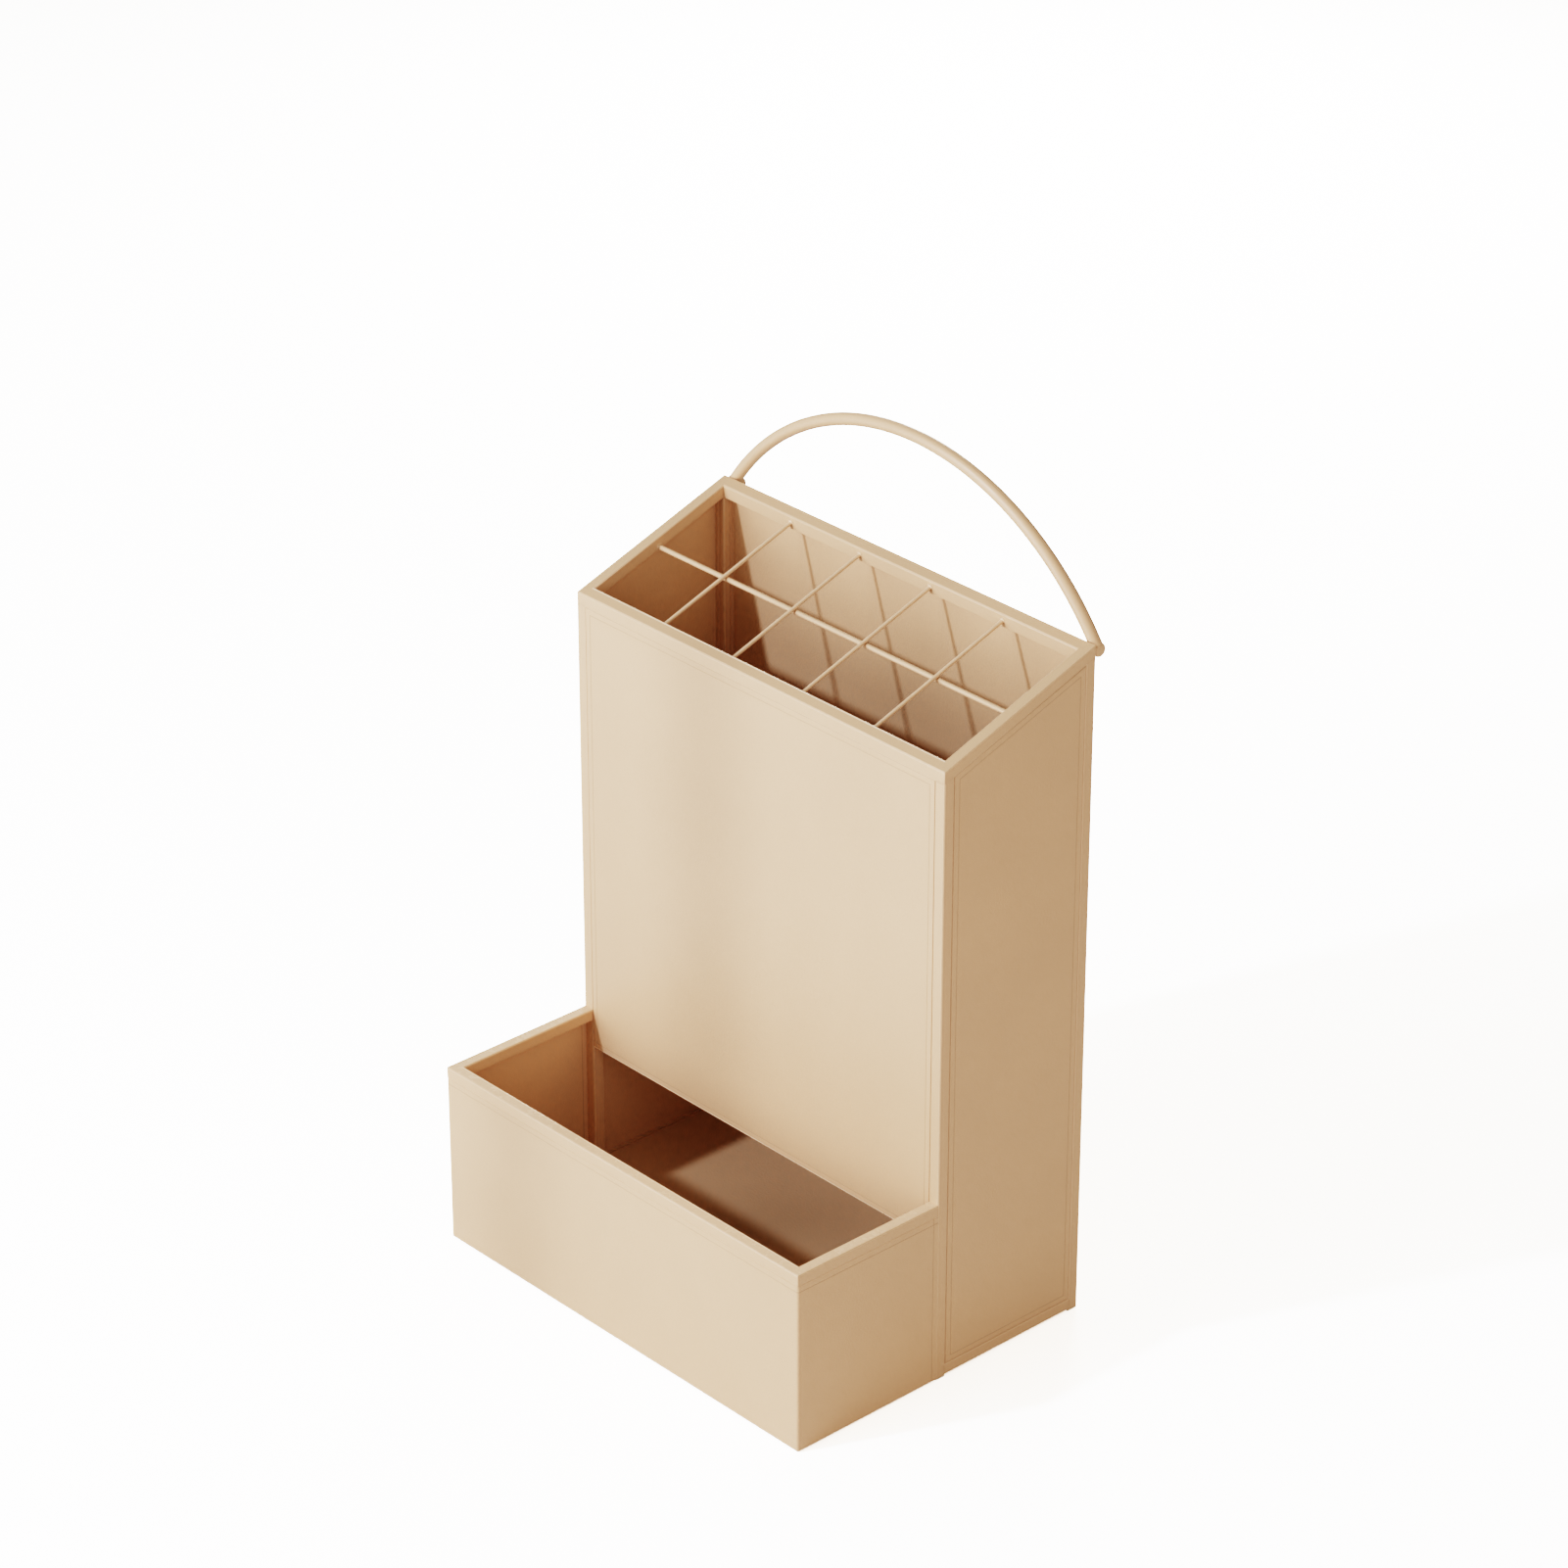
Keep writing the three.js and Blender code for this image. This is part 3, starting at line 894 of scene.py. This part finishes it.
# %% [markdown]
# ## A line pressed into a bent sheet
# Insets would not do here, because the apron's outside is many narrow faces round the bends. So
# each line is scribed three times, along its middle and along both of its sides. Only the middle
# points that lie on the outside are then moved into the sheet, which makes a shallow V.

# %% Press the apron's lines
near_a_side = 0.001


def inward_from_outside(point):
    """The way into the sheet from a point on its outside, or None for a point on its inside."""
    inside = abs(point.co.x) < apron_high.x - sheet_thickness * 0.5
    if inside and point.co.y > apron_low.y + sheet_thickness * 0.5:
        return None
    sideways = abs(point.co.x) > apron_high.x - near_a_side
    frontways = point.co.y < apron_low.y + near_a_side
    inward = Vector((-math.copysign(1, point.co.x) if sideways else 0, 1 if frontways else 0, 0))
    return inward.normalized()


def press_across(mesh, axis, level):
    """Presses one fine straight line into the outside of the apron."""
    facing = Vector(shift_by(axis, 1, 1))
    for offset in (-press_line_half_width, press_line_half_width):
        scribe(mesh, facing * (level + offset), facing)
    mesh.normal_update()
    for point in scribe(mesh, facing * level, facing):
        inward = inward_from_outside(point)
        if inward:
            point.co += inward * press_line_depth
    # The faces of the line are painted darker, as painted shade in the groove.
    for face in mesh.faces:
        middle = face.calc_center_median()
        if abs(middle[axis] - level) < press_line_half_width and face.calc_area() > 0:
            face[light_mark] = seam_shade


press_across(mesh, 2, apron_high.z - press_line_from_fold)
press_across(mesh, 1, tall_low.y - press_line_from_fold)
finish_piece(mesh, "tray_apron_sheet", ["tray_apron"], "painted_sheet", sharp_over=35)
print("apron bent and closed against the posts")

# %% [markdown]
# ## The floor sheet
# A flat sheet lies on the base rails and runs from the tray into the tall box. Its edges are only
# cut, and the coat rounds a cut edge to a quarter of a millimetre, so a small bevel is enough.

# %% Round the floor sheet's edges
cut_edge_radius = 0.00025
# Cut edges are painted a little lighter, partly as wear and partly as painted highlight.
cut_edge_wear_highlight = 0.6
mesh = merged_copy("floor_sheet")
rims = [
    edge
    for edge in mesh.edges
    if edge.calc_length() > 0.0007 and math.degrees(edge.calc_face_angle(0)) > 60
]
soften(mesh, rims, cut_edge_radius, segments=2, edge_light_value=cut_edge_wear_highlight)
finish_piece(mesh, "floor_sheet_laid", ["floor_sheet"], "painted_sheet")
print("floor sheet has", len(rims), "rounded edges")

# %% [markdown]
# ## Outlines that are spun
# Drawn wire, welds and turned ends are all round about one line, so each is a half outline spun a
# full turn. A cylinder with a bevel could give the wire, but not the hollow fillet that a weld
# leaves where wire meets rail. Points on the line itself close the ends.

# %% Spin an outline
def spun_outline(points, centre, line, sides):
    """Spins (along, out) points round a line through centre, from one end of it to the other."""
    mesh = bmesh.new()
    line = line.normalized()
    side = line.orthogonal().normalized()
    verts = [mesh.verts.new(centre + line * along + side * out) for along, out in points]
    edges = [mesh.edges.new(pair) for pair in zip(verts, verts[1:])]
    bmesh.ops.spin(
        mesh,
        geom=verts + edges,
        cent=centre,
        axis=line,
        dvec=(0, 0, 0),
        angle=2 * math.pi,
        steps=sides,
        use_merge=True,
    )
    bmesh.ops.remove_doubles(mesh, verts=mesh.verts, dist=1e-7)
    bmesh.ops.recalc_face_normals(mesh, faces=mesh.faces)
    return mesh


def fillet_outline(half_length, radius, fillet, steps=6):
    """Half outline of a wire: a hollow quarter round at each end, and the straight wire between."""
    right = []
    for step in range(steps + 1):
        angle = math.pi / 2 * step / steps
        along = half_length - fillet * (1 - math.sin(angle))
        out = radius + fillet * (1 - math.cos(angle))
        right.append((along, out))
    left = [(-along, out) for along, out in reversed(right)]
    return left + right


print("spinning ready")

# %% [markdown]
# ## The cross rods
# Four thin rods run from the front rail up to the rear one and keep the umbrellas apart. They are
# painted lighter all over, partly as wear where umbrellas slide and partly as painted highlight.
# The rods slope and the rails' faces are upright, so each rod is spun too long, with its fillets,
# and both ends are then sawn upright at the rails.

# %% Spin the cross rods
weld_fillet = 0.0013
facet_allowance = 1.02
sawn_off = 0.002
# How much lighter the cross rods are painted: partly wear, partly painted highlight.
cross_rod_wear_highlight = 2.0
rail_faces_y = (rim_front[1].y, rim_rear[0].y)


def lighten_all_over(mesh, amount):
    """Marks every face to be painted lighter, partly as wear where umbrellas slide and partly as
    painted highlight.
    """
    light_mark = painted_light_layer(mesh)
    for face in mesh.faces:
        face[light_mark] = amount


cross_rods = [n for n in steel if n.startswith("cross_rod")]
for node in cross_rods:
    low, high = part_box(node)
    uphill = Vector((0, 1, rise))
    radius = (high.x - low.x) / 2 * facet_allowance
    reach = (rail_faces_y[1] - rail_faces_y[0]) / 2 * uphill.length
    flared = radius + weld_fillet
    outline = fillet_outline(reach, radius, weld_fillet)
    outline = [(-reach - sawn_off, flared)] + outline + [(reach + sawn_off, flared)]
    mesh = spun_outline(outline, (low + high) / 2, uphill, 20)
    for y, outward in zip(rail_faces_y, (Vector((0, -1, 0)), Vector((0, 1, 0)))):
        saw_off(mesh, Vector((0, y, 0)), outward)
    bmesh.ops.recalc_face_normals(mesh, faces=mesh.faces)
    lighten_all_over(mesh, cross_rod_wear_highlight)
    finish_piece(mesh, node + "_wire", [node], "painted_rod", sharp_over=60)
print(len(cross_rods), "cross rods spun")

# %% [markdown]
# ## The long rod
# One thicker rod runs under the cross rods from side to side and carries them. It is level and
# meets the side rails squarely, so its spun outline can close on its own line and needs no cut.

# %% Spin the long rod
low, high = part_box("long_rod")
long_rod_fillet = 0.0014
# The long rod is painted lighter all over, partly as wear and partly as painted highlight.
long_rod_wear_highlight = 1.0
rail_face_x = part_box("rim_rail_right")[0].x
long_radius = (high.z - low.z) / 2 * facet_allowance
outline = fillet_outline(rail_face_x, long_radius, long_rod_fillet)
outline = [(-rail_face_x, 0)] + outline + [(rail_face_x, 0)]
mesh = spun_outline(outline, (low + high) / 2, Vector((1, 0, 0)), 24)
lighten_all_over(mesh, long_rod_wear_highlight)
finish_piece(mesh, "long_rod_wire", ["long_rod"], "painted_rod", sharp_over=60)
print("long rod of radius", round(long_radius * 1000, 2), "mm spun")

# %% [markdown]
# ## The arc of the handle
# The handle is a single rod bent to a circle's arc behind the rear rail. The exact rod is a row of
# straight steps, so the circle is found first: of all circles that pass under the crown, the one
# that its points lie most evenly about. The new rod then runs 4 mm further down at each foot, into
# the turned ends.

# %% Find the arc
low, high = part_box("arch_rod")
rod_radius = (high.y - low.y) / 2
arch_y = (high.y + low.y) / 2
crown_z = high.z - rod_radius
foot_reach = 0.004
right_half = [v.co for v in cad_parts["arch_rod"].data.vertices if v.co.x > 0]


def circle_centre(radius):
    """The centre of the circle of that radius whose top is the rod's crown."""
    return Vector((0, arch_y, crown_z - radius))


def widest_miss(radius):
    """The largest distance of the rod's points from that circle, its own radius included."""
    centre = circle_centre(radius)
    return max(abs(Vector((p.x, 0, p.z - centre.z)).length - radius) for p in right_half)


arch_radius = min((tenth_mm / 10000 for tenth_mm in range(2200, 2500)), key=widest_miss)
arch_centre = circle_centre(arch_radius)
end_angle = min(
    math.atan2(p.z - arch_centre.z, p.x)
    for p in right_half
    if abs(p.y - arch_y) > 0.9 * rod_radius
)
end_angle -= foot_reach / arch_radius
print("arc of", arch_radius, "m, off by", round(widest_miss(arch_radius) - rod_radius, 5), "m")

# %% [markdown]
# ## Bending the handle
# One circle of the rod's section, spun part of a turn about the centre of the arc, gives an even
# thickness all the way, as a bending machine does. A curve with a round bevel would look the same,
# but the spun rod is a plain mesh from the start and its ends are easy to close.

# %% Bend the rod
sides_round_rod = 28
steps_along_arc = 120
mesh = bmesh.new()
outward = Vector((math.cos(end_angle), 0, math.sin(end_angle)))
start = arch_centre + outward * arch_radius
ring = bmesh.ops.create_circle(
    mesh, cap_ends=False, radius=rod_radius, segments=sides_round_rod
)["verts"]
depthways = Vector((0, 1, 0))
turn = Matrix((outward, depthways, outward.cross(depthways))).transposed().to_4x4()
bmesh.ops.transform(mesh, matrix=Matrix.Translation(start) @ turn, verts=ring)
bmesh.ops.spin(
    mesh,
    geom=mesh.verts[:] + mesh.edges[:],
    cent=arch_centre,
    axis=-depthways,
    dvec=(0, 0, 0),
    angle=math.pi - 2 * end_angle,
    steps=steps_along_arc,
    use_merge=False,
)
bmesh.ops.holes_fill(mesh, edges=[e for e in mesh.edges if e.is_boundary], sides=0)
bmesh.ops.recalc_face_normals(mesh, faces=mesh.faces)
finish_piece(mesh, "arch_rod_bent", ["arch_rod"], "painted_rod", sharp_over=60)
print("handle bent through", round(math.degrees(math.pi - 2 * end_angle)), "degrees")

# %% [markdown]
# ## Turned ends of the handle
# Each foot of the handle is welded down onto a short turned stub that lies against the rear rail.
# The stub is a little thicker than the rod and its outer end is domed, so from the side it reads
# as a round button just under the rod's line. It is one outline spun round a level line.

# %% Turn the stubs
stub_drop = 0.0025
stub_inner_end = -0.0062
inside_the_box = 0.0002


def stub_outline(radius, inner_end, outer_end, dome=0.0024, break_edge=0.0004, steps=7):
    """(along, out) points from the closed inner end to the crown of the domed outer end."""
    points = [(inner_end, 0), (inner_end, radius - break_edge), (inner_end + break_edge, radius)]
    crown = 0.0003
    for step in range(steps + 1):
        angle = math.pi / 2 * step / steps
        along = outer_end - crown - dome * (1 - math.sin(angle))
        points.append((along, radius - dome * (1 - math.cos(angle))))
    return points + [(outer_end, 0)]


for side, sign in (("left", -1), ("right", 1)):
    node = "arch_end_ball_" + side
    low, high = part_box(node)
    middle = (low + high) / 2
    middle.z -= stub_drop
    outer_end = tall_high.x - inside_the_box - abs(middle.x)
    outline = stub_outline((high.y - low.y) / 2, stub_inner_end, outer_end)
    mesh = spun_outline(outline, middle, Vector((sign, 0, 0)), 32)
    finish_piece(mesh, node + "_stub", [node], "painted_rod", sharp_over=60)
print("stubs turned,", round((outer_end - stub_inner_end) * 1000, 1), "mm long")

# %% [markdown]
# ## The feet
# Each open post ends in a pushed-in plug. Only its thin cap shows, and a moulding has no truly
# sharp edge, so every edge of the exact plug gets a small round.

# %% Soften the feet
moulded_edge_radius = 0.00022
moulded_edge_mark = 0.4
feet = [n for n in steel if n.startswith("foot_")]
for node in feet:
    mesh = merged_copy(node)
    rims = [e for e in mesh.edges if e.calc_face_angle(0) > math.radians(30)]
    soften(mesh, rims, moulded_edge_radius, segments=2, edge_light_value=moulded_edge_mark)
    finish_piece(mesh, node + "_plug", [node], "foot_plastic")
print(len(feet), "feet softened")

# %% [markdown]
# ## The floor of the studio
# A wide flat sheet of paper lies a hair below the feet, so that no foot shares a plane with it.
# It isn't part of the stand.

# %% Lay the studio floor
floor_drop = 0.0003
floor_half_width = 12
floor_mesh = bmesh.new()
bmesh.ops.create_grid(floor_mesh, x_segments=2, y_segments=2, size=floor_half_width)
bmesh.ops.translate(floor_mesh, vec=(0, 0, cad_low.z - floor_drop), verts=floor_mesh.verts)
floor_data = bpy.data.meshes.new("studio_floor")
floor_mesh.to_mesh(floor_data)
floor_mesh.free()
studio_floor = bpy.data.objects.new("studio_floor", floor_data)
scene.collection.objects.link(studio_floor)
print("floor laid at", round(cad_low.z - floor_drop, 4))

# %% [markdown]
# ## The paper of the floor
# To the camera the paper is nearly white, so that the stand has a clean outline, but the light it
# throws back onto the steel is that of light grey paper. Again a Light Path node keeps the two
# apart.

# %% Paint the studio floor
paper_grey = (0.75, 0.75, 0.75, 1)
white_to_the_camera = (9, 9, 9, 1)
pale_floor = bpy.data.materials.new("pale_floor")
pale_floor.use_nodes = True
tree = pale_floor.node_tree
tree.nodes.clear()
seen = add_node(tree, "ShaderNodeLightPath")
paper = add_node(tree, "ShaderNodeBsdfDiffuse")
paper.inputs["Color"].default_value = paper_grey
bright = add_node(tree, "ShaderNodeBsdfDiffuse")
bright.inputs["Color"].default_value = white_to_the_camera
either = add_node(tree, "ShaderNodeMixShader")
surface = add_node(tree, "ShaderNodeOutputMaterial")
tree.links.new(seen.outputs["Is Camera Ray"], either.inputs["Fac"])
tree.links.new(paper.outputs["BSDF"], either.inputs[1])
tree.links.new(bright.outputs["BSDF"], either.inputs[2])
tree.links.new(either.outputs["Shader"], surface.inputs["Surface"])
floor_data.materials.append(pale_floor)
print("floor painted")

# %% [markdown]
# ## The size of the steel
# The painted stand is meant to fill the same box as the exact steel. Only the exact box is printed
# here.

# %% Print the exact box
print("exact box", [round(v, 5) for v in cad_high - cad_low])
